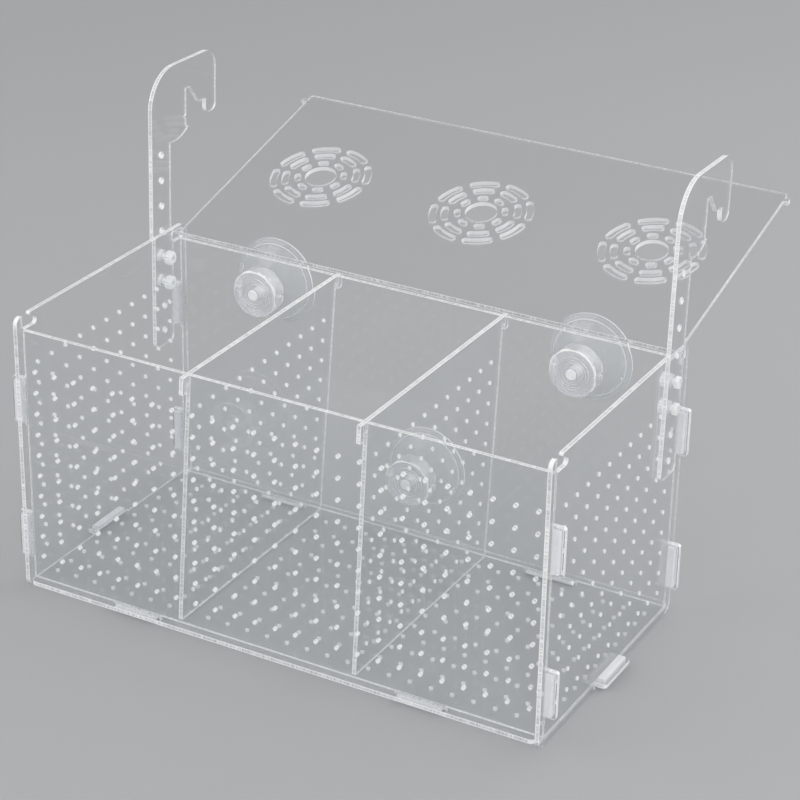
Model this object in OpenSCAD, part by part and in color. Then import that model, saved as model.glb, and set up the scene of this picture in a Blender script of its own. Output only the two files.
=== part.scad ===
// Fish breeding box: a clear tank of slotted sheet that hangs inside an aquarium.
// Origin: centre of the footprint, z = 0 on the plane that the box stands on.
// X runs along the front, +Y points to the back (the aquarium glass), +Z up.
// The lid is drawn as it stands open, leaning back on the suction cups.

/* [Box] */
// Clear length between the two side panels
box_length = 250; // [200:10:300]
// Clear depth between the front and back panels
box_depth = 118; // [100:2:160]
// Height of the front and back panels
box_height = 120; // [100:10:160]
// Thickness of every sheet
sheet = 2; // [1.5:0.5:3]
// How far the side panels and the floor sheet run past the front and back panels
overhang = 3.8; // [2:0.1:6]
// Height of the floor sheet's underside above the standing plane
floor_z = 2; // [1:0.5:5]
// How far the side panels rise above the front and back panels
side_rise = 6.6; // [6:0.2:10]
// Radius of the side panels' back top corner
top_corner_r = 5; // [2:0.5:8]
// Radius of the side panels' lower corners
low_corner_r = 4.5; // [2:0.5:8]

/* [Water holes] */
// Diameter of each water hole
hole_d = 2; // [1:0.1:3]
// Spacing of the water holes
hole_pitch = 10; // [8:0.5:12]
// Height of the lowest row above the standing plane
first_row_z = 15.5; // [12:0.5:20]
// Rows of water holes
hole_rows = 10; // [4:1:12]

/* [Tabs] */
// Length of the side tabs of the front and back panels
side_tab_len = 22; // [15:1:30]
// Heights of the side tabs' centres
side_tab_z = [25, 90.5];
// How far the side tabs stand out of the side panels
side_tab_out = 4.9; // [4.5:0.1:8]
// Length of the tabs under the floor and at the floor's ends
floor_tab_len = 24; // [15:1:30]
// Distance of the floor tabs of the front and back panels from the middle
foot_tab_x = 70.5; // [50:0.5:90]
// How far the floor's end tabs stand out of the side panels
end_tab_out = 5; // [4.5:0.1:8]
// Width of the plain rim round the window in a tab
tab_rim = 1.2; // [0.8:0.1:2]
// Width of a lock strip across the window
strip_w = 3.4; // [2:0.1:5]
// How far a lock strip stands out of each face of its tab
strip_out = 1.4; // [0.3:0.1:2]

/* [Dividers] */
// Distance of each divider from the middle
divider_x = 42; // [25:1:70]
// Lean of the left divider in its notches
left_lean = 3.3; // [0:0.1:4]
// Lean of the right divider in its notches
right_lean = 2; // [0:0.1:4]
// Height of a divider's neck over the panel edge
neck_h = 4; // [3:0.5:8]
// Length that the front hook hangs down
hook_h = 8; // [5:0.5:15]
// Width of a hook's leg
hook_w = 3.3; // [2:0.1:5]

/* [Lid] */
// Length of the lid from its hinge edge to its free edge
lid_len = 122.3; // [100:0.1:160]
// Angle at which the open lid rests on the suction cups
open_angle = 14.7; // [0:0.1:60]
// Width of a lid ear along the lid's side
ear_w = 2.1; // [1.5:0.1:4]
// Distance from the hinge edge to the front ears
front_ear_v = 116.3; // [90:0.1:150]
// Half the distance between the ears' ends
ear_reach = 127.3; // [126.5:0.1:129]
// Distance between the centres of the vent patterns
vent_step = 85; // [60:1:90]
// Distance of the vent patterns from the hinge edge
vent_v = 62.1; // [40:0.1:80]
// Diameter of the round hole in the middle of a vent pattern
vent_hole_d = 15; // [10:0.5:20]

/* [Hangers] */
// Width of a hanger's strap
strap_w = 14.6; // [10:0.2:20]
// Front edge of the straps
strap_y = 40.1; // [20:0.1:45]
// Height of a hanger's lower end
strap_z = 75; // [60:1:90]
// Height of a hanger's top
hanger_top = 207.3; // [180:0.1:240]
// Height of the flat that rests on the aquarium's rim
rim_rest_z = 184.8; // [170:0.1:200]
// Backward lean of the hangers on their screws
hanger_lean = 1.3; // [0:0.1:3]
// Height settings in a hanger
strap_holes = 8; // [2:1:10]
// Spacing of the height settings
strap_pitch = 12.2; // [8:0.1:16]
// Screw diameter
screw_d = 3; // [2.5:0.5:4]

/* [Suction cups] */
// Diameter of a suction cup
cup_d = 39.6; // [25:0.1:45]
// Distance from the back panel to a cup's rim
cup_depth = 10.3; // [6:0.1:15]
// Distance of the upper cups from the middle
cup_x = 80; // [60:1:100]
// Height of the upper cups' centres
cup_high_z = 108.85; // [80:0.05:112]
// Height of the lower cup's centre
cup_low_z = 34.5; // [25:0.5:60]
// Diameter of the cap that holds a cup on the inside
cap_d = 22; // [15:0.5:30]
// Length of the cap
cap_len = 7.6; // [5:0.1:12]

/* [Hidden] */
$fn = 48;
gap = 0.1;
in_x = box_length / 2;
out_x = in_x + sheet;
in_y = box_depth / 2;
out_y = in_y + sheet;
edge_y = out_y + overhang;
base_z = floor_z + sheet;
top_z = base_z + box_height;
side_top = top_z + side_rise;
hole_cols = floor(box_length / hole_pitch / 2 - 0.1);
hole_lines = floor((box_depth - hole_pitch) / hole_pitch / 2);
rest_gap = 0.3;
divider_z = base_z + rest_gap;
divider_slop = 0.4;
ear_y = 59.5;
ear_z = top_z + 3.1;
slot_y = [52.9, 62.2];
slot_z = [top_z + 0.05, top_z + 5.15];
slot_r = 1.6;
mouth_y = [-61, -55.7];
pocket_end = -50.9;
pocket_r = 1.7;
seat = 0.05;
hole_y = strap_y + 7.6;
screw_z = strap_z + 7.2;
used_holes = [2, 3];
hanger_pivot = [hole_y, screw_z + (used_holes[0] + used_holes[1]) / 2 * strap_pitch];
nut_flats = 5.5;
nut_h = 2;
head_d = 6.3;
head_h = 3.7;
thread_step = 0.5;
thread_deep = 0.22;
cup_spots = [[-cup_x, cup_high_z], [cup_x, cup_high_z], [0, cup_low_z]];
neck_d = 9;
stem_d = 5.2;
clear_tone = [0.86, 0.9, 0.92, 0.35];
milky_tone = [0.9, 0.9, 0.93, 0.8];
cup_tone = [0.78, 0.86, 0.92, 0.45];

// Place (y, z) of the i-th height setting of a leaning hanger.
function screw_spot(i) =
  let (up = screw_z + i * strap_pitch - hanger_pivot[1])
    hanger_pivot + up * [sin(hanger_lean), cos(hanger_lean)];

// --- flat outlines ---

module soft_rect(low, high, r) {
  size_x = high[0] - low[0];
  size_y = high[1] - low[1];
  translate([low[0] + r, low[1]])
    square([size_x - 2 * r, size_y]);
  translate([low[0], low[1] + r])
    square([size_x, size_y - 2 * r]);
  for (x = [low[0] + r, high[0] - r])
    for (y = [low[1] + r, high[1] - r])
      translate([x, y])
        circle(r);
}

module water_holes(half_cols, rows, first, pitch) {
  for (column = [-half_cols:half_cols])
    for (row = [0:rows - 1])
      translate([column * pitch, first + row * pitch])
        circle(d = hole_d, $fn = 24);
}

// A tab that stands along +X from the origin, with the window for its lock strip.
module tab_outline(length, out, start) {
  difference() {
    translate([-1, 0])
      soft_rect([-1, -length / 2], [1 + start + out, length / 2], 1);
    translate([start, tab_rim - length / 2])
      square([out - tab_rim - 0.2, length - 2 * tab_rim]);
  }
}

module divider_gaps() {
  half = sheet / 2 + divider_slop;
  for (x = [-divider_x, divider_x])
    translate([x - half, top_z - neck_h - rest_gap])
      square([2 * half, neck_h + 2]);
}

module long_panel_outline() {
  difference() {
    translate([seat - in_x, base_z])
      square([box_length - 2 * seat, box_height]);
    divider_gaps();
  }
  for (side = [0, 1])
    mirror([side, 0])
      for (z = side_tab_z)
        translate([in_x, z])
          tab_outline(side_tab_len, side_tab_out, sheet);
  for (x = [-foot_tab_x, foot_tab_x])
    translate([x, base_z])
      foot_tab_outline();
}

module foot_tab_outline() {
  difference() {
    translate([-floor_tab_len / 2, -base_z])
      square([floor_tab_len, base_z + 1]);
    translate([tab_rim - floor_tab_len / 2, tab_rim * 0.75 - base_z])
      square([floor_tab_len - 2 * tab_rim, floor_z - tab_rim * 0.75]);
  }
}

module front_outline() {
  difference() {
    long_panel_outline();
    water_holes(hole_cols, hole_rows, first_row_z, hole_pitch);
  }
}

module back_outline() {
  difference() {
    long_panel_outline();
    for (spot = cup_spots)
      translate(spot)
        circle(d = stem_d + 2 * gap);
  }
}

// Cuts a corner of a sheet to a round of radius r; a and b point into the sheet.
module corner_cut(at, r, a, b) {
  translate(at)
    difference() {
      translate([min(0, a * r) - (a > 0 ? 1 : 0), min(0, b * r) - (b > 0 ? 1 : 0)])
        square(r + 1);
      translate([a * r, b * r])
        circle(r);
    }
}

// The hooked notch that a front ear of the lid drops into and slides under.
module lid_notch() {
  low = top_z + 0.1;
  over = side_top + 2;
  front_r = 1.5;
  lip_z = side_top - 1.2;
  polygon([
    [mouth_y[0], over], [mouth_y[0], low + front_r], [mouth_y[0] + front_r, low],
    [pocket_end - pocket_r, low], [pocket_end - pocket_r, low + pocket_r],
    [pocket_end - 1.1, low + pocket_r + 1.35], [mouth_y[1], lip_z], [mouth_y[1], over]
  ]);
  translate([mouth_y[0] + front_r, low + front_r])
    circle(front_r);
  translate([pocket_end - pocket_r, low + pocket_r])
    circle(pocket_r);
}

module side_outline() {
  difference() {
    translate([-edge_y, 0])
      square([2 * edge_y, side_top]);
    corner_cut([edge_y, side_top], top_corner_r, -1, -1);
    corner_cut([edge_y, 0], low_corner_r, -1, 1);
    corner_cut([-edge_y, 0], low_corner_r, 1, 1);
    corner_cut([-edge_y, side_top], 3, 1, -1);
    corner_cut([mouth_y[1], side_top], 0.9, 1, -1);
    lid_notch();
    soft_rect([slot_y[0], slot_z[0]], [slot_y[1], slot_z[1]], slot_r);
    water_holes(hole_lines, hole_rows, first_row_z, hole_pitch);
    for (y = [-in_y - sheet / 2, in_y + sheet / 2])
      for (z = side_tab_z)
        translate([y - sheet / 2 - gap, z - side_tab_len / 2 - gap])
          square([sheet + 2 * gap, side_tab_len + 2 * gap]);
    translate([-floor_tab_len / 2 - gap, -1])
      square([floor_tab_len + 2 * gap, base_z + gap + 1]);
    for (i = used_holes)
      translate(screw_spot(i))
        circle(d = screw_d + 2 * gap);
  }
}

module floor_outline() {
  difference() {
    union() {
      soft_rect([seat - in_x, -edge_y], [in_x - seat, edge_y], 3);
      for (side = [0, 1])
        mirror([side, 0])
          translate([in_x, 0])
            tab_outline(floor_tab_len, end_tab_out, sheet);
    }
    water_holes(hole_cols, 2 * hole_lines + 1, -hole_lines * hole_pitch, hole_pitch);
    for (x = [-foot_tab_x, foot_tab_x])
      for (y = [-in_y - sheet / 2, in_y + sheet / 2])
        translate([x - floor_tab_len / 2 - gap, y - sheet / 2 - gap])
          square([floor_tab_len + 2 * gap, sheet + 2 * gap]);
  }
}

module divider_outline() {
  half = in_y - 0.6;
  leg_in = out_y + 0.5;
  leg_out = leg_in + hook_w;
  difference() {
    union() {
      translate([-half, divider_z])
        square([2 * half, top_z - divider_z]);
      translate([-leg_out, top_z - neck_h])
        square([2 * leg_out, neck_h]);
      translate([-leg_out, top_z - hook_h])
        square([hook_w, hook_h]);
      translate([leg_in, top_z - hook_h + 1])
        square([hook_w, hook_h - 1]);
    }
    corner_cut([leg_out, top_z], 2, -1, -1);
    corner_cut([leg_out, top_z - hook_h + 1], 1.4, -1, 1);
    water_holes(hole_lines, hole_rows, first_row_z, hole_pitch);
  }
}

// One vent slot, bent along the ring of radius r and centred on +X.
module vent_slot(r, width, length) {
  half_turn = (length - width) / r * 90 / PI;
  reach = r + width;
  intersection() {
    difference() {
      circle(r + width / 2);
      circle(r - width / 2);
    }
    polygon([
      [0, 0], [reach * cos(half_turn), -reach * sin(half_turn)],
      [reach * 1.2, 0], [reach * cos(half_turn), reach * sin(half_turn)]
    ]);
  }
  for (turn = [-half_turn, half_turn])
    rotate(turn)
      translate([r, 0])
        circle(d = width * 1.03);
}

module vent_pattern() {
  circle(d = vent_hole_d);
  for (i = [0:7])
    rotate(22.5 + 45 * i) {
      vent_slot(11, 3, 5.2);
      vent_slot(17, 3.3, 10.3);
      vent_slot(22.5, 3.4, 14.1);
    }
}

// The lid from its hinge edge (y = 0) to its free edge, with four ears.
module lid_outline() {
  half = in_x - 0.3;
  difference() {
    union() {
      translate([-half, 0])
        square([2 * half, lid_len]);
      for (v = [0, front_ear_v])
        translate([-ear_reach, v])
          square([2 * ear_reach, ear_w]);
    }
    for (side = [-1, 1])
      corner_cut([side * half, lid_len], 1.2, -side, -1);
    for (i = [-1:1])
      translate([i * vent_step, vent_v])
        vent_pattern();
  }
}

module hanger_outline() {
  strap_back = strap_y + strap_w;
  slot_front = 67.7;
  slot_top = rim_rest_z + 9;
  ramp = [71.2, 78.3];
  tip_in = 83.9;
  tip_out = 92.2;
  shoulder = rim_rest_z - 4;
  tip_low = rim_rest_z - 7.3;
  big_r = 18;
  small_r = 8.5;
  tip_r = 3.4;
  crook = 3;
  low_r = 3;
  difference() {
    union() {
      translate([strap_y, strap_z + low_r])
        square([strap_w, shoulder - strap_z]);
      translate([strap_y + low_r, strap_z])
        square([strap_w - 2 * low_r, low_r + 1]);
      for (y = [strap_y + low_r, strap_back - low_r])
        translate([y, strap_z + low_r])
          circle(low_r);
      translate([strap_y, shoulder])
        square([tip_out - strap_y, hanger_top - big_r - shoulder]);
      translate([strap_y + big_r, hanger_top - big_r - 1])
        square([tip_out - small_r - strap_y - big_r, big_r + 1]);
      translate([tip_out - small_r - 1, hanger_top - big_r - 1])
        square([small_r + 1, big_r - small_r + 1]);
      translate([strap_y + big_r, hanger_top - big_r])
        circle(big_r, $fn = 96);
      translate([tip_out - small_r, hanger_top - small_r])
        circle(small_r);
      soft_rect([tip_in, tip_low], [tip_out, tip_low + 9], tip_r);
      difference() {
        translate([strap_back - 1, shoulder - crook])
          square([crook + 1, crook + 1]);
        translate([strap_back + crook, shoulder - crook])
          circle(crook);
      }
    }
    polygon([
      [slot_front, tip_low - 2], [slot_front, slot_top], [ramp[0], slot_top],
      [ramp[1], rim_rest_z], [tip_in, rim_rest_z], [tip_in, tip_low - 2]
    ]);
    corner_cut([slot_front, shoulder], 1, -1, 1);
    for (i = [0:strap_holes - 1])
      translate([hole_y, screw_z + i * strap_pitch])
        circle(d = screw_d + 2 * gap);
  }
}

// --- placing sheets ---

// Stands a (y, z) outline up with its lower face at x.
module stand_side(x) {
  translate([x, 0, 0])
    rotate([90, 0, 90])
      linear_extrude(sheet)
        children();
}

// Stands an (x, z) outline up with its front face at y.
module stand_front(y) {
  translate([0, y + sheet, 0])
    rotate([90, 0, 0])
      linear_extrude(sheet)
        children();
}

module on_left() {
  mirror([1, 0, 0])
    children();
}

// --- panels ---

module front_panel() {
  color(clear_tone)
    stand_front(-out_y)
      front_outline();
}

module back_panel() {
  color(clear_tone)
    stand_front(in_y)
      back_outline();
}

module right_side_panel() {
  color(clear_tone)
    stand_side(in_x)
      side_outline();
}

module left_side_panel() {
  on_left()
    right_side_panel();
}

module floor_panel() {
  color(clear_tone)
    translate([0, 0, floor_z])
      linear_extrude(sheet)
        floor_outline();
}

module lid() {
  color(clear_tone)
    translate([0, ear_y, ear_z])
      rotate([open_angle, 0, 0])
        translate([0, -ear_w / 2, -sheet / 2])
          linear_extrude(sheet)
            lid_outline();
}

// A divider hangs by its hooks and leans in the loose notches.
module divider(x, lean) {
  color(clear_tone)
    translate([x, 0, top_z - neck_h / 2])
      rotate([0, lean, 0])
        translate([0, 0, neck_h / 2 - top_z])
          stand_side(-sheet / 2)
            divider_outline();
}

module left_divider() { divider(-divider_x, left_lean); }
module right_divider() { divider(divider_x, right_lean); }

module right_hanger() {
  color(clear_tone)
    stand_side(out_x + seat)
      translate(hanger_pivot)
        rotate(-hanger_lean)
          translate(-hanger_pivot)
            hanger_outline();
}

module left_hanger() {
  on_left()
    right_hanger();
}

// --- screws and nuts ---

module screw(i) {
  shank_len = 2 * sheet + nut_h - 0.2;
  turns = floor(shank_len / thread_step);
  color(clear_tone)
    translate([in_x, screw_spot(i)[0], screw_spot(i)[1]])
      rotate([0, 90, 0]) {
        difference() {
          translate([0, 0, -head_h - seat])
            rotate_extrude()
              intersection() {
                square([head_d / 2, head_h]);
                translate([0, head_d * 0.75])
                  circle(head_d * 0.75);
              }
          for (turn = [0, 90])
            rotate(turn)
              translate([-1.5, -0.3, -head_h - 1])
                cube([3, 0.6, 1.9]);
        }
        rotate_extrude()
          polygon(concat(
            [[0, -0.5], [screw_d / 2, -0.5]],
            [for (t = [0:turns - 1])
              for (side = [0, 1])
                [screw_d / 2 - thread_deep * side, t * thread_step + thread_step * (side + 0.5) / 2]],
            [[screw_d / 2 - 0.3, shank_len], [0, shank_len]]
          ));
      }
}

module nut(i) {
  color(clear_tone)
    translate([out_x + sheet + 2 * seat, screw_spot(i)[0], screw_spot(i)[1]])
      rotate([0, 90, 0])
        difference() {
          intersection() {
            cylinder(h = nut_h, d = nut_flats / cos(30), $fn = 6);
            cylinder(h = nut_h, d1 = nut_flats + 2.4, d2 = nut_flats + 0.1);
          }
          translate([0, 0, -1])
            cylinder(h = nut_h + 2, d = screw_d + gap);
        }
}

module right_lower_screw() { screw(used_holes[0]); }
module right_upper_screw() { screw(used_holes[1]); }
module left_lower_screw() { on_left() screw(used_holes[0]); }
module left_upper_screw() { on_left() screw(used_holes[1]); }
module right_lower_nut() { nut(used_holes[0]); }
module right_upper_nut() { nut(used_holes[1]); }
module left_lower_nut() { on_left() nut(used_holes[0]); }
module left_upper_nut() { on_left() nut(used_holes[1]); }

// --- suction cups ---

// Depth of a cup's outer skin behind the back panel at radius r.
function bell(r) = 1.6 + (cup_depth - 2.4) * pow((r - neck_d / 2) / (cup_d / 2 - neck_d / 2), 1.5);

module cup(spot) {
  rim = cup_d / 2;
  steps = 8;
  start = neck_d / 2;
  color(cup_tone)
    translate([spot[0], out_y, spot[1]])
      rotate([-90, 0, 0])
        rotate_extrude($fn = 72)
          polygon(concat(
            [[0, -sheet - cap_len - 1.5], [stem_d / 2 - 0.4, -sheet - cap_len - 1.5],
             [stem_d / 2, -sheet - cap_len - 1.1], [stem_d / 2, 0.1], [start - 0.4, 0.1]],
            [for (i = [0:steps])
              let (r = start + (rim - start) * i / steps)
                [r, bell(r)]],
            [[rim, cup_depth], [rim - 1.4, cup_depth], [rim - 2, cup_depth - 0.5],
             [rim - 2.8, cup_depth - 0.5], [rim - 3.2, cup_depth - 0.9]],
            [for (i = [steps - 2:-1:0])
              let (r = start + (rim - start) * i / steps)
                [r, bell(r) + 1.5]],
            [[0, bell(start) + 1.8]]
          ));
}

module cap(spot) {
  flat_r = cap_d / 2 / cos(22.5);
  slit_w = 1.4;
  color(cup_tone)
    translate([spot[0], in_y - seat, spot[1]])
      rotate([90, 0, 0])
        difference() {
          intersection() {
            rotate(22.5)
              cylinder(h = cap_len, r = flat_r, $fn = 8);
            cylinder(h = cap_len, r = cap_d / 2 + 0.35);
            cylinder(h = cap_len, r1 = cap_d / 2 + cap_len, r2 = cap_d / 2 - 0.4);
          }
          translate([0, 0, -1])
            cylinder(h = cap_len + 2, d = stem_d + gap);
          translate([0, 0, cap_len - 0.7])
            difference() {
              cylinder(h = 2, d = 12.6);
              translate([0, 0, -1])
                cylinder(h = 4, d = 10);
            }
          translate([0, 0, cap_len - 0.4])
            difference() {
              cylinder(h = 2, d = cap_d - 2.4);
              translate([0, 0, -1])
                cylinder(h = 4, d = 15.6);
            }
          for (side = [-1, 1])
            translate([side * cap_d / 2, 0, -1])
              rotate([0, 0, 90])
                translate([-slit_w / 2, -2, 0])
                  cube([slit_w, 4, cap_len - 1.8]);
        }
}

module left_cup() { cup(cup_spots[0]); }
module right_cup() { cup(cup_spots[1]); }
module lower_cup() { cup(cup_spots[2]); }
module left_cap() { cap(cup_spots[0]); }
module right_cap() { cap(cup_spots[1]); }
module lower_cap() { cap(cup_spots[2]); }

// --- lock strips ---

// Strip through a side tab: y is the tab's middle plane, z its centre.
module side_strip(y, z) {
  length = side_tab_len - 2 * tab_rim - 0.4;
  color(milky_tone)
    translate([out_x, y, z - length / 2])
      linear_extrude(length)
        soft_rect([seat, -sheet / 2 - strip_out], [strip_w, sheet / 2 + strip_out], 0.5);
}

// Strip through a foot tab, lying along x hard against the floor's underside.
module foot_strip(x, y) {
  length = floor_tab_len - 2 * tab_rim - 0.4;
  color(milky_tone)
    translate([x - length / 2, y, floor_z])
      rotate([90, 0, 90])
        linear_extrude(length)
          soft_rect([-sheet / 2 - strip_out, 0.94 - floor_z], [sheet / 2 + strip_out, -seat], 0.3);
}

// Strip through the floor's end tab, lying along y.
module end_strip() {
  length = floor_tab_len - 2 * tab_rim - 0.4;
  color(milky_tone)
    translate([out_x, length / 2, floor_z + sheet / 2])
      rotate([90, 0, 0])
        linear_extrude(length)
          soft_rect([seat, -sheet / 2 - strip_out], [strip_w, sheet / 2 + strip_out], 0.5);
}

mid_y = in_y + sheet / 2;
module front_right_upper_strip() { side_strip(-mid_y, side_tab_z[1]); }
module front_right_lower_strip() { side_strip(-mid_y, side_tab_z[0]); }
module back_right_upper_strip() { side_strip(mid_y, side_tab_z[1]); }
module back_right_lower_strip() { side_strip(mid_y, side_tab_z[0]); }
module front_left_upper_strip() { on_left() side_strip(-mid_y, side_tab_z[1]); }
module front_left_lower_strip() { on_left() side_strip(-mid_y, side_tab_z[0]); }
module back_left_upper_strip() { on_left() side_strip(mid_y, side_tab_z[1]); }
module back_left_lower_strip() { on_left() side_strip(mid_y, side_tab_z[0]); }
module front_left_foot_strip() { foot_strip(-foot_tab_x, -mid_y); }
module front_right_foot_strip() { foot_strip(foot_tab_x, -mid_y); }
module back_left_foot_strip() { foot_strip(-foot_tab_x, mid_y); }
module back_right_foot_strip() { foot_strip(foot_tab_x, mid_y); }
module right_end_strip() { end_strip(); }
module left_end_strip() { on_left() end_strip(); }

front_panel();
back_panel();
left_side_panel();
right_side_panel();
floor_panel();
lid();
left_divider();
right_divider();
left_hanger();
right_hanger();
left_upper_screw();
left_lower_screw();
right_upper_screw();
right_lower_screw();
left_upper_nut();
left_lower_nut();
right_upper_nut();
right_lower_nut();
left_cup();
right_cup();
lower_cup();
left_cap();
right_cap();
lower_cap();
front_left_upper_strip();
front_left_lower_strip();
front_right_upper_strip();
front_right_lower_strip();
back_left_upper_strip();
back_left_lower_strip();
back_right_upper_strip();
back_right_lower_strip();
front_left_foot_strip();
front_right_foot_strip();
back_left_foot_strip();
back_right_foot_strip();
left_end_strip();
right_end_strip();
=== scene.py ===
import math

import bmesh
import bpy
from mathutils import Matrix, Vector


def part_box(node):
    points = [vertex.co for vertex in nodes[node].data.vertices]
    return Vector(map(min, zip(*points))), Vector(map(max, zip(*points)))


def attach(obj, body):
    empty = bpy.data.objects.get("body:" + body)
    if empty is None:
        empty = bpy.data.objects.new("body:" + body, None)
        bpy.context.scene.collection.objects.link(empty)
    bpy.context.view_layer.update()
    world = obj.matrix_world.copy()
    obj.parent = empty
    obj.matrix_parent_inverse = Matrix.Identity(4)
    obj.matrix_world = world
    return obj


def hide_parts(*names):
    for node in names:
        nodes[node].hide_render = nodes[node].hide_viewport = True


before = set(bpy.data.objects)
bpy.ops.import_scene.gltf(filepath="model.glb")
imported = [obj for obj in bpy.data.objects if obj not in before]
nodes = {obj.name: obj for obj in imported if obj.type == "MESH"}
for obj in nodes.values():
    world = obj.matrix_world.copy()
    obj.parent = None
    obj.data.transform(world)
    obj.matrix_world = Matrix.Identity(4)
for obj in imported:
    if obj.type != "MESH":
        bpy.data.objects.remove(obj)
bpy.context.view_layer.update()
print("loaded", len(nodes), "pieces of the box")

# the camera stands at the front right and looks down at the open box
cameraView = {
    "place": (0.48772, -0.84492, 0.57629),
    "turn": (1.97033, 0.52440, -0.30128),  # rotation vector of the view, y down and z ahead
    "focal": 2547.12,  # in pixels
    "slide": (4.83, -2.1),  # how far the view's axis is off the middle of the frame, in pixels
    "frame": 800,
    "sensor": 36,
    "farthest": 30,
}


def addCamera(view):
    turn = Vector(view["turn"])
    away = Matrix.Rotation(turn.length, 3, turn.normalized()).transposed()
    flip = Matrix(((1, 0, 0), (0, -1, 0), (0, 0, -1)))
    data = bpy.data.cameras.new("camera")
    data.sensor_width = view["sensor"]
    data.lens = view["focal"] * view["sensor"] / view["frame"]
    data.shift_x = -view["slide"][0] / view["frame"]
    data.shift_y = view["slide"][1] / view["frame"]
    data.clip_end = view["farthest"]
    camera = bpy.data.objects.new("camera", data)
    camera.matrix_world = Matrix.Translation(view["place"]) @ (away @ flip).to_4x4()
    bpy.context.scene.collection.objects.link(camera)
    bpy.context.scene.camera = camera


addCamera(cameraView)
print("camera set")


# short ways to make and join shader nodes
def startMaterial(name):
    material = bpy.data.materials.new(name)
    material.use_nodes = True
    tree = material.node_tree
    for node in list(tree.nodes):
        tree.nodes.remove(node)
    return material, tree


def addNode(tree, kind, **values):
    node = tree.nodes.new(kind)
    for key, value in values.items():
        setattr(node, key, value)
    return node


def fillSocket(node, name, value):
    node.inputs[name].default_value = value


def link(tree, source, target):
    tree.links.new(source, target)


def noiseAt(tree, coords, scale, detail=2.0, rough=0.5):
    noise = addNode(tree, "ShaderNodeTexNoise")
    fillSocket(noise, "Scale", scale)
    fillSocket(noise, "Detail", detail)
    fillSocket(noise, "Roughness", rough)
    link(tree, coords, noise.inputs["Vector"])
    return noise.outputs["Fac"]


def spread(tree, source, low, high, fromLow=0.0, fromHigh=1.0):
    ranger = addNode(tree, "ShaderNodeMapRange")
    fillSocket(ranger, "From Min", fromLow)
    fillSocket(ranger, "From Max", fromHigh)
    fillSocket(ranger, "To Min", low)
    fillSocket(ranger, "To Max", high)
    link(tree, source, ranger.inputs["Value"])
    return ranger.outputs["Result"]


def colourSocket(sockets, name):
    return [s for s in sockets if s.type == "RGBA" and s.name == name][0]


def blendColour(tree, source, first, second):
    # first and second are colours, or the outputs of other nodes
    mix = addNode(tree, "ShaderNodeMix", data_type="RGBA")
    for name, colour in (("A", first), ("B", second)):
        socket = colourSocket(mix.inputs, name)
        if isinstance(colour, (tuple, list)):
            socket.default_value = (*colour, 1)
        else:
            link(tree, colour, socket)
    link(tree, source, mix.inputs["Factor"])
    return colourSocket(mix.outputs, "Result")


def mathNode(tree, operation, first, second=0.0):
    node = addNode(tree, "ShaderNodeMath", operation=operation)
    for index, value in enumerate((first, second)):
        if isinstance(value, (int, float)):
            node.inputs[index].default_value = value
        else:
            link(tree, value, node.inputs[index])
    return node.outputs["Value"]


def addBump(tree, source, strength, distance):
    bump = addNode(tree, "ShaderNodeBump")
    fillSocket(bump, "Strength", strength)
    fillSocket(bump, "Distance", distance)
    link(tree, source, bump.inputs["Height"])
    return bump.outputs["Normal"]


def mixShaders(tree, share, first, second):
    mix = addNode(tree, "ShaderNodeMixShader")
    link(tree, share, mix.inputs["Fac"])
    link(tree, first, mix.inputs[1])
    link(tree, second, mix.inputs[2])
    return mix.outputs["Shader"]


def lightThrough(tree, shader, tint):
    # light on its way to what is behind the clear piece passes straight, a little weaker
    path = addNode(tree, "ShaderNodeLightPath")
    clear = addNode(tree, "ShaderNodeBsdfTransparent")
    fillSocket(clear, "Color", (*tint, 1))
    for ray in ("Is Diffuse Ray", "Is Shadow Ray"):
        shader = mixShaders(tree, path.outputs[ray], shader, clear.outputs["BSDF"])
    return shader


def finishMaterial(tree, shader):
    out = addNode(tree, "ShaderNodeOutputMaterial")
    link(tree, shader, out.inputs["Surface"])


# the clear sheets: polished faces, laser-cut edges, round hole walls
sheetFace = {
    "tintLow": (0.965, 0.975, 0.98),
    "tintHigh": (0.988, 0.992, 0.995),
    "cloudSize": 24.0,
    "refraction": 1.49,
    "roughLow": 0.0,
    "roughHigh": 0.012,
    "wipeSize": 60.0,
    "wipeFrom": 0.45,  # only the strongest of the wiping marks show
    "wipeTo": 0.75,
    "square": 0.9,  # a polygon that faces this squarely out of the sheet is part of its face
    "shadowTint": (0.955, 0.96, 0.962),
}
sheetEdge = {
    "core": (0.76, 0.77, 0.785),
    "mark": (0.96, 0.965, 0.97),
    # painted highlight: the white painted along both corners of each cut edge
    "corner": (1.0, 1.0, 1.0),
    "cornerFrom": 0.45,  # share of the half thickness at which the painted highlight along the corners starts
    "cornerTo": 0.8,
    "clearCore": 0.38,
    "clearMark": 0.1,
    # the painted highlight lets almost no light through
    "clearCorner": 0.03,
    "refraction": 1.49,
    "roughLow": 0.1,
    "roughHigh": 0.3,
    "markSize": 1100.0,  # laser marks across the cut, per metre
    "markFrom": 0.38,
    "markTo": 0.62,
    "bump": 0.4,
    "bumpDepth": 0.0001,
    "cornerDrop": 2.0,  # how far the corners fall away, in depths of a laser mark
    "shadowTint": (0.74, 0.76, 0.78),
}
holeWall = {
    "tintLow": (0.95, 0.955, 0.96),
    "tintHigh": (1.0, 1.0, 1.0),
    "frostSize": 1500.0,
    "roughLow": 0.15,
    "roughHigh": 0.3,
    "clear": 0.05,
    "refraction": 1.49,
    "facetWidth": 0.0005,  # a wall facet narrower than this belongs to a round hole or corner
    "ventInset": 0.012,  # a cut this far inside the lid's outline belongs to a vent
    "shadowTint": (0.74, 0.76, 0.78),
}
sheetNames = (
    "front_panel", "back_panel", "left_side_panel", "right_side_panel", "floor_panel", "lid",
    "left_divider", "right_divider", "left_hanger", "right_hanger",
)


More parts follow.
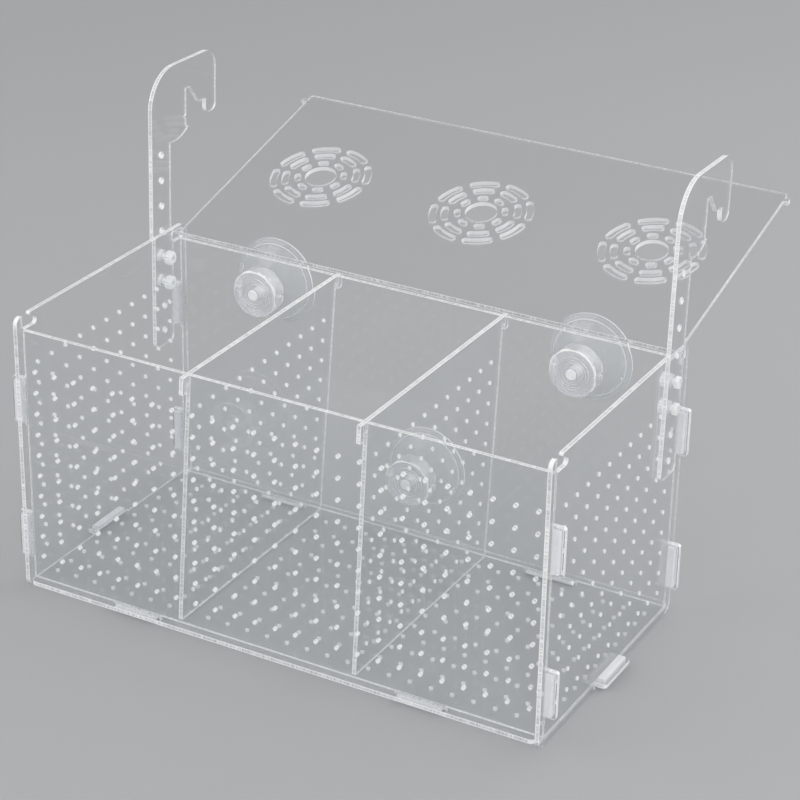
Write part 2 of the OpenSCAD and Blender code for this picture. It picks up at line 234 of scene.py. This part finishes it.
def makeSheetFace(look):
    material, tree = startMaterial("clear sheet face")
    place = addNode(tree, "ShaderNodeTexCoord").outputs["Object"]
    cloud = noiseAt(tree, place, look["cloudSize"], detail=3.0)
    shader = addNode(tree, "ShaderNodeBsdfPrincipled")
    link(tree, blendColour(tree, cloud, look["tintLow"], look["tintHigh"]), shader.inputs["Base Color"])
    wiped = noiseAt(tree, place, look["wipeSize"], detail=4.0, rough=0.6)
    rough = spread(tree, wiped, look["roughLow"], look["roughHigh"], look["wipeFrom"], look["wipeTo"])
    link(tree, rough, shader.inputs["Roughness"])
    fillSocket(shader, "Transmission Weight", 1.0)
    fillSocket(shader, "IOR", look["refraction"])
    finishMaterial(tree, lightThrough(tree, shader.outputs["BSDF"], look["shadowTint"]))
    return material


def makeSheetEdge(look, name, way, middle, half):
    # the cut edge: a painted highlight along both corners where it meets the faces, and laser marks straight
    # across between them
    material, tree = startMaterial(name)
    place = addNode(tree, "ShaderNodeTexCoord").outputs["Object"]
    depth = addNode(tree, "ShaderNodeVectorMath", operation="DOT_PRODUCT")
    link(tree, place, depth.inputs[0])
    depth.inputs[1].default_value = way
    fromMiddle = mathNode(tree, "ABSOLUTE", mathNode(tree, "SUBTRACT", depth.outputs["Value"], middle))
    toFace = mathNode(tree, "DIVIDE", fromMiddle, half)
    # the band along both faces of the sheet that is painted white as a highlight
    corner = spread(tree, toFace, 0.0, 1.0, look["cornerFrom"], look["cornerTo"])
    through = addNode(tree, "ShaderNodeVectorMath", operation="SCALE")
    through.inputs[0].default_value = way
    link(tree, depth.outputs["Value"], through.inputs["Scale"])
    along = addNode(tree, "ShaderNodeVectorMath", operation="SUBTRACT")
    link(tree, place, along.inputs[0])
    link(tree, through.outputs["Vector"], along.inputs[1])
    grain = noiseAt(tree, along.outputs["Vector"], look["markSize"], detail=2.0, rough=0.6)
    marks = spread(tree, grain, 0.0, 1.0, look["markFrom"], look["markTo"])
    shader = addNode(tree, "ShaderNodeBsdfPrincipled")
    cut = blendColour(tree, marks, look["core"], look["mark"])
    # painted highlight: the corner band is coloured white over the cut
    link(tree, blendColour(tree, corner, cut, look["corner"]), shader.inputs["Base Color"])
    link(tree, spread(tree, marks, look["roughHigh"], look["roughLow"]), shader.inputs["Roughness"])
    # each laser mark scatters light, the polish between the marks lets it through
    clear = spread(tree, marks, look["clearCore"], look["clearMark"])
    between = mathNode(tree, "MULTIPLY", clear, spread(tree, corner, 1.0, 0.0))
    link(tree, mathNode(tree, "MAXIMUM", between, look["clearCorner"]), shader.inputs["Transmission Weight"])
    height = mathNode(tree, "SUBTRACT", marks, mathNode(tree, "MULTIPLY", corner, look["cornerDrop"]))
    link(tree, addBump(tree, height, look["bump"], look["bumpDepth"]), shader.inputs["Normal"])
    fillSocket(shader, "IOR", look["refraction"])
    finishMaterial(tree, lightThrough(tree, shader.outputs["BSDF"], look["shadowTint"]))
    return material


def makeHoleWall(look):
    # the laser leaves the walls of the small holes and round corners frosted and bright
    material, tree = startMaterial("hole wall")
    place = addNode(tree, "ShaderNodeTexCoord").outputs["Object"]
    frost = noiseAt(tree, place, look["frostSize"], detail=2.0)
    shader = addNode(tree, "ShaderNodeBsdfPrincipled")
    link(tree, blendColour(tree, frost, look["tintLow"], look["tintHigh"]), shader.inputs["Base Color"])
    link(tree, spread(tree, frost, look["roughLow"], look["roughHigh"]), shader.inputs["Roughness"])
    fillSocket(shader, "Transmission Weight", look["clear"])
    fillSocket(shader, "IOR", look["refraction"])
    finishMaterial(tree, lightThrough(tree, shader.outputs["BSDF"], look["shadowTint"]))
    return material


faceMaterial = makeSheetFace(sheetFace)
holeMaterial = makeHoleWall(holeWall)


def isInnerCut(polygon, low, high):
    # the walls of the lid's vent slots, well inside the lid's own outline
    inset = holeWall["ventInset"]
    return all(low[i] + inset < polygon.center[i] < high[i] - inset for i in (0, 1))


def dressSheet(piece):
    edgeSlot, holeSlot = 1, 2
    mesh = piece.data
    way = max(mesh.polygons, key=lambda p: p.area).normal.copy()
    depths = [v.co.dot(way) for v in mesh.vertices]
    middle, half = (max(depths) + min(depths)) / 2, (max(depths) - min(depths)) / 2
    low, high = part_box(piece.name)
    mesh.materials.clear()
    mesh.materials.append(faceMaterial)
    mesh.materials.append(makeSheetEdge(sheetEdge, piece.name + " edge", way, middle, half))
    mesh.materials.append(holeMaterial)
    for polygon in mesh.polygons:
        if abs(polygon.normal.dot(way)) > sheetFace["square"]:
            continue
        tangent = way.cross(polygon.normal)
        reach = [mesh.vertices[index].co.dot(tangent) for index in polygon.vertices]
        narrow = max(reach) - min(reach) < holeWall["facetWidth"]
        inner = piece.name == "lid" and isInnerCut(polygon, low, high)
        polygon.material_index = holeSlot if narrow or inner else edgeSlot


for name in sheetNames:
    dressSheet(nodes[name])
print("sheets dressed")

# the looks of the screws, nuts, cups, caps and strips
fastener = {
    "tintLow": (0.92, 0.93, 0.94),
    "tintHigh": (1.0, 1.0, 1.0),
    "clear": 0.22,
    "refraction": 1.5,
    "roughLow": 0.05,
    "roughHigh": 0.2,
    "cloudSize": 400.0,
    "bumpSize": 1400.0,
    "bumpDepth": 0.0006,
    "gloss": 0.0,
    "shadowTint": (0.80, 0.81, 0.82),
}
cupSkin = {
    "tintLow": (0.90, 0.91, 0.93),
    "tintHigh": (0.97, 0.975, 0.98),
    "clear": 0.84,
    "refraction": 1.46,
    "roughLow": 0.08,
    "roughHigh": 0.18,
    "cloudSize": 90.0,
    "bumpSize": 400.0,
    "bumpDepth": 0.0001,
    "gloss": 0.35,
    "shadowTint": (0.87, 0.88, 0.89),
    "lipWidth": 0.0004,
    "ringFrom": 0.0033,  # the step inside the lip, measured in from the rim
    "ringTo": 0.0027,
    "tipLength": 0.0016,  # the tip of the stem shows in the middle of the cap
}
capBody = {
    "tintLow": (0.91, 0.915, 0.94),
    "tintHigh": (0.99, 0.99, 1.0),
    "clear": 0.76,
    "refraction": 1.46,
    "roughLow": 0.12,
    "roughHigh": 0.26,
    "cloudSize": 110.0,
    "bumpSize": 350.0,
    "bumpDepth": 0.0002,
    "gloss": 0.3,
    "shadowTint": (0.84, 0.85, 0.86),
    "cornerWidth": 0.0006,
    "wallDepth": 0.0024,
    "endFacing": 0.3,
    "wallFacing": 0.5,
}
# painted highlight: a whiter, nearly opaque material put on the rims, steps and groove walls of the cups and
# caps
paintedHighlightRim = {
    "tintLow": (0.96, 0.96, 0.97),
    "tintHigh": (1.0, 1.0, 1.0),
    "clear": 0.12,
    "refraction": 1.46,
    "roughLow": 0.15,
    "roughHigh": 0.3,
    "cloudSize": 200.0,
    "bumpSize": 600.0,
    "bumpDepth": 0.0001,
    "gloss": 0.4,
    "shadowTint": (0.75, 0.76, 0.78),
}
milkyStrip = {
    "tintLow": (0.84, 0.84, 0.87),
    "tintHigh": (0.95, 0.95, 0.975),
    "bubble": (1.0, 1.0, 1.0),
    "bubbleSize": 700.0,
    "bubbleFrom": 0.12,
    "bubbleTo": 0.3,
    "clear": 0.18,
    "refraction": 1.41,
    "roughLow": 0.25,
    "roughHigh": 0.45,
    "cloudSize": 200.0,
    "bumpSize": 1200.0,
    "bumpDepth": 0.00015,
    "gloss": 0.3,
    "shadowTint": (0.6, 0.6, 0.62),
}
wearMarks = {
    "from": 0.3,
    "to": 0.7,
    "bump": 0.4,
    "sheenRough": 0.3,
}


def makeClear(look, name):
    material, tree = startMaterial(name)
    place = addNode(tree, "ShaderNodeTexCoord").outputs["Object"]
    cloud = noiseAt(tree, place, look["cloudSize"], detail=3.0)
    shader = addNode(tree, "ShaderNodeBsdfPrincipled")
    colour = blendColour(tree, cloud, look["tintLow"], look["tintHigh"])
    if "bubble" in look:
        bubbles = addNode(tree, "ShaderNodeTexVoronoi")
        fillSocket(bubbles, "Scale", look["bubbleSize"])
        link(tree, place, bubbles.inputs["Vector"])
        spots = spread(tree, bubbles.outputs["Distance"], 1.0, 0.0, look["bubbleFrom"], look["bubbleTo"])
        colour = blendColour(tree, spots, colour, look["bubble"])
    link(tree, colour, shader.inputs["Base Color"])
    wear = noiseAt(tree, place, look["bumpSize"], detail=3.0, rough=0.6)
    rough = spread(tree, wear, look["roughLow"], look["roughHigh"], wearMarks["from"], wearMarks["to"])
    link(tree, rough, shader.inputs["Roughness"])
    link(tree, addBump(tree, wear, wearMarks["bump"], look["bumpDepth"]), shader.inputs["Normal"])
    fillSocket(shader, "Transmission Weight", look["clear"])
    fillSocket(shader, "IOR", look["refraction"])
    fillSocket(shader, "Sheen Weight", look["gloss"])
    fillSocket(shader, "Sheen Roughness", wearMarks["sheenRough"])
    finishMaterial(tree, lightThrough(tree, shader.outputs["BSDF"], look["shadowTint"]))
    return material


fastenerMaterial = makeClear(fastener, "clear fastener")
cupMaterial = makeClear(cupSkin, "soft clear")
capMaterial = makeClear(capBody, "cap body")
highlightRimMaterial = makeClear(paintedHighlightRim, "painted highlight rim")
stripMaterial = makeClear(milkyStrip, "milky silicone")


def dress(piece, materials, pick):
    mesh = piece.data
    mesh.materials.clear()
    for material in materials:
        mesh.materials.append(material)
    for polygon in mesh.polygons:
        polygon.material_index = pick(polygon)


def middleOf(name):
    # the middle of a piece's box, and half its size
    low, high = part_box(name)
    return (Vector(low) + Vector(high)) / 2, (Vector(high) - Vector(low)) / 2


def dressCup(name):
    # the thin lip of the cup, the step inside it and the tip of its stem get a painted highlight: the whiter
    # rim material
    middle, half = middleOf(name)
    corners = [v.co - middle for v in nodes[name].data.vertices]

    def pick(polygon):
        inward = [half.x - math.hypot(corners[i].x, corners[i].z) for i in polygon.vertices]
        tip = all(corners[i].y < cupSkin["tipLength"] - half.y for i in polygon.vertices)
        ring = cupSkin["ringTo"] < min(inward) and max(inward) < cupSkin["ringFrom"]
        return 1 if tip or ring or max(inward) < cupSkin["lipWidth"] else 0

    dress(nodes[name], (cupMaterial, highlightRimMaterial), pick)


def dressCap(name):
    # painted highlights on the corners round the end face and on the walls of the grooves, the bore and the
    # side slits
    middle, half = middleOf(name)

    def pick(polygon):
        out = (polygon.center - middle) * Vector((1, 0, 1))
        if abs(polygon.normal.y) > capBody["endFacing"]:
            return 1 if out.length > half.x - capBody["cornerWidth"] else 0
        sideways = abs(polygon.normal.dot(out.normalized())) < capBody["wallFacing"]
        return 1 if sideways or out.length < half.x - capBody["wallDepth"] else 0

    dress(nodes[name], (capMaterial, highlightRimMaterial), pick)


for side in ("left", "right", "lower"):
    dressCup(side + "_cup")
    dressCap(side + "_cap")
for name, piece in nodes.items():
    if name.endswith("strip"):
        dress(piece, (stripMaterial,), lambda polygon: 0)
print("cups, caps and strips dressed")


# threaded screws and nuts, turned round their own axes
screwShape = {
    "headLength": 0.00368,
    "headRadius": 0.0033,
    "ribs": 14,
    "ribDepth": 0.00035,
    "round": 0.0005,
    "socketRadius": 0.0012,
    "socketDepth": 0.0016,
    "socketCentre": 0.00001,  # the floor of the socket closes to a ring this small
    "shankRadius": 0.0015,
    "pitch": 0.0008,
    "threadDepth": 0.00025,
    "stationsPerTurn": 6,
    "steps": 84,
}
nutShape = {
    "bore": 0.00153,
    "flat": 0.00275,
    "most": 0.00312,
    "round": 0.0005,
    "steps": 84,
}


def turnedMesh(name, rings, steps, start, way, closed):
    # rings: (place along the axis, function of the angle that gives the radius)
    verts, faces = [], []
    for along, radiusAt in rings:
        for step in range(steps):
            angle = 2 * math.pi * step / steps
            radius = radiusAt(angle)
            across, up = radius * math.cos(angle), radius * math.sin(angle)
            verts.append((start.x + way * along, start.y + across, start.z + up))
    count = len(rings)
    for ring in range(count if closed else count - 1):
        after = (ring + 1) % count
        for step in range(steps):
            nextStep = (step + 1) % steps
            near, far = ring * steps, after * steps
            faces.append((near + step, far + step, far + nextStep, near + nextStep))
    if not closed:
        faces.append(tuple(range(steps)))
        faces.append(tuple((count - 1) * steps + step for step in reversed(range(steps))))
    mesh = bpy.data.meshes.new(name)
    mesh.from_pydata(verts, [], faces)
    tidy = bmesh.new()
    tidy.from_mesh(mesh)
    bmesh.ops.recalc_face_normals(tidy, faces=tidy.faces)
    tidy.to_mesh(mesh)
    tidy.free()
    piece = bpy.data.objects.new(name, mesh)
    bpy.context.scene.collection.objects.link(piece)
    mesh.materials.append(fastenerMaterial)
    return piece


def plainRing(radius):
    return lambda angle: radius


def ribbedRing(radius, count, depth):
    return lambda angle: radius - depth * (0.5 - 0.5 * math.cos(angle * count))


def hexRing(flatRadius, most=math.inf):
    # six flats, with the corners cut back to the largest radius
    def radiusAt(angle):
        offFlat = (angle + math.pi / 6) % (math.pi / 3) - math.pi / 6
        return min(most, flatRadius / math.cos(offFlat))
    return radiusAt


def threadRing(along, look):
    def radiusAt(angle):
        phase = (along / look["pitch"] + angle / (2 * math.pi)) % 1.0
        return look["shankRadius"] - look["threadDepth"] * abs(2 * phase - 1)
    return radiusAt


def axisOf(node, side):
    # where the axis starts, which way it runs along x, and how far
    low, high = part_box(node)
    middle, half = middleOf(node)
    way = 1 if side == "right" else -1
    start = Vector((low[0] if way > 0 else high[0], middle.y, middle.z))
    return start, way, 2 * half.x


def addFastener(piece, node):
    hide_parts(node)
    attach(piece, "box")


def buildScrew(side, level, look):
    node = side + "_" + level + "_screw"
    start, way, length = axisOf(node, side)
    head, grip, bend = look["headLength"], look["headRadius"], look["round"]
    rings = [
        (look["socketDepth"], plainRing(look["socketCentre"])),
        (look["socketDepth"], hexRing(look["socketRadius"])),
        (0.0, hexRing(look["socketRadius"])),
        (0.0, plainRing(grip - 2 * bend)),
        (0.4 * bend, plainRing(grip - bend)),
    ]
    # places along the ribbed part of the head, counted in roundings
    ribStations = (1.0, 1.6, 0.5 * head / bend, head / bend - 1.4)
    ribbed = ribbedRing(grip, look["ribs"], look["ribDepth"])
    rings += [(bend * share, ribbed) for share in ribStations]
    rings.append((head - 0.3 * bend, plainRing(grip - bend)))
    rings.append((head, plainRing(grip - 1.6 * bend)))
    count = int((length - head) / (look["pitch"] / look["stationsPerTurn"]))
    for index in range(count + 1):
        along = head + (length - head) * index / count
        rings.append((along, threadRing(along, look)))
    piece = turnedMesh(side + "_" + level + "_ribbed_screw", rings, look["steps"], start, way, False)
    addFastener(piece, node)


def buildNut(side, level, look):
    node = side + "_" + level + "_nut"
    start, way, length = axisOf(node, side)
    flat, most, bend = look["flat"], look["most"], look["round"]
    rings = [
        (0.0, plainRing(look["bore"])),
        (0.0, hexRing(flat, most - bend)),
        (0.6 * bend, hexRing(flat, most)),
        (length - 0.8 * bend, hexRing(flat, most)),
        (length, hexRing(flat, most - 1.4 * bend)),
        (length, plainRing(look["bore"])),
    ]
    piece = turnedMesh(side + "_" + level + "_hex_nut", rings, look["steps"], start, way, True)
    addFastener(piece, node)


for side in ("left", "right"):
    for level in ("upper", "lower"):
        buildScrew(side, level, screwShape)
        buildNut(side, level, nutShape)
print("screws and nuts turned")

# floor, lamps and world
studio = {
    "floorColour": (0.43, 0.435, 0.44),
    "floorHalf": 4.0,
    "floorRough": 0.85,
    "grainSize": 40.0,
    "grainTint": 1.015,
    "backdrop": (0.405, 0.41, 0.415),
    "blendFrom": 0.7,  # the floor turns into the backdrop between these distances
    "blendTo": 1.7,
    "horizonColour": (1.0, 1.0, 1.0),
    "topColour": (0.16, 0.165, 0.17),
    "topFrom": 0.75,  # height of the sky, from 0 at the horizon to 1, where it is darkest
    "worldPower": 0.95,
    "aim": (0, 0, 0.08),
    "bounces": 24,  # light has to get through many clear sheets one behind the other
    "lamps": [
        {"name": "key", "place": (-1.2, -0.9, 1.3), "size": 1.7, "power": 15, "mirrored": True},
        {"name": "rim", "place": (0.8, 1.3, 1.2), "size": 1.7, "power": 13, "mirrored": False},
        {"name": "side", "place": (1.6, -0.2, 0.8), "size": 1.4, "power": 9, "mirrored": False},
        {"name": "front", "place": (0.9, -1.8, 0.9), "size": 1.6, "power": 11, "mirrored": False},
        {"name": "top", "place": (0.1, 0.5, 1.7), "size": 1.0, "power": 5, "mirrored": True},
    ],
}


def addFloor(setup):
    half = setup["floorHalf"]
    mesh = bpy.data.meshes.new("floor")
    corners = [(-half, -half, 0), (half, -half, 0), (half, half, 0), (-half, half, 0)]
    mesh.from_pydata(corners, [], [(0, 1, 2, 3)])
    floor = bpy.data.objects.new("floor", mesh)
    bpy.context.scene.collection.objects.link(floor)
    material, tree = startMaterial("floor paper")
    place = addNode(tree, "ShaderNodeTexCoord").outputs["Object"]
    grain = noiseAt(tree, place, setup["grainSize"], detail=2.0)
    shader = addNode(tree, "ShaderNodeBsdfPrincipled")
    base = setup["floorColour"]
    lighter = [share * setup["grainTint"] for share in base]
    link(tree, blendColour(tree, grain, base, lighter), shader.inputs["Base Color"])
    fillSocket(shader, "Roughness", setup["floorRough"])
    backdrop = addNode(tree, "ShaderNodeEmission")
    fillSocket(backdrop, "Color", (*setup["backdrop"], 1.0))
    away = addNode(tree, "ShaderNodeVectorMath", operation="LENGTH")
    link(tree, place, away.inputs[0])
    distance = spread(tree, away.outputs["Value"], 0.0, 1.0, setup["blendFrom"], setup["blendTo"])
    paper = mixShaders(tree, distance, shader.outputs["BSDF"], backdrop.outputs["Emission"])
    finishMaterial(tree, paper)
    mesh.materials.append(material)


def addLamp(entry, aim):
    data = bpy.data.lights.new(entry["name"], "AREA")
    data.energy = entry["power"]
    data.shape = "SQUARE"
    data.size = entry["size"]
    lamp = bpy.data.objects.new(entry["name"], data)
    lamp.location = entry["place"]
    # a low lamp would show as a white patch in both faces of a sheet
    lamp.visible_glossy = entry["mirrored"]
    lamp.visible_transmission = entry["mirrored"]
    beam = Vector(aim) - Vector(entry["place"])
    lamp.rotation_euler = beam.to_track_quat("-Z", "Y").to_euler()
    bpy.context.scene.collection.objects.link(lamp)


def addWorld(setup):
    # a light tent, bright round the sides and darker above; the camera sees the plain backdrop
    world = bpy.data.worlds.new("studio")
    world.use_nodes = True
    tree = world.node_tree
    split = addNode(tree, "ShaderNodeSeparateXYZ")
    link(tree, addNode(tree, "ShaderNodeTexCoord").outputs["Generated"], split.inputs["Vector"])
    height = spread(tree, split.outputs["Z"], 0.0, 1.0, 0.0, setup["topFrom"])
    back = tree.nodes["Background"]
    link(tree, blendColour(tree, height, setup["horizonColour"], setup["topColour"]), back.inputs["Color"])
    fillSocket(back, "Strength", setup["worldPower"])
    plain = addNode(tree, "ShaderNodeBackground")
    fillSocket(plain, "Color", (*setup["backdrop"], 1.0))
    paths = addNode(tree, "ShaderNodeLightPath")
    seen = back.outputs["Background"]
    for ray in ("Is Camera Ray", "Is Transmission Ray"):
        seen = mixShaders(tree, paths.outputs[ray], seen, plain.outputs["Background"])
    link(tree, seen, tree.nodes["World Output"].inputs["Surface"])
    bpy.context.scene.world = world


addFloor(studio)
for entry in studio["lamps"]:
    addLamp(entry, studio["aim"])
addWorld(studio)
bpy.context.scene.view_settings.view_transform = "Standard"
cycles = bpy.context.scene.cycles
cycles.max_bounces = studio["bounces"]
cycles.transmission_bounces = studio["bounces"]
cycles.transparent_max_bounces = studio["bounces"]
print("floor, lamps and world set")
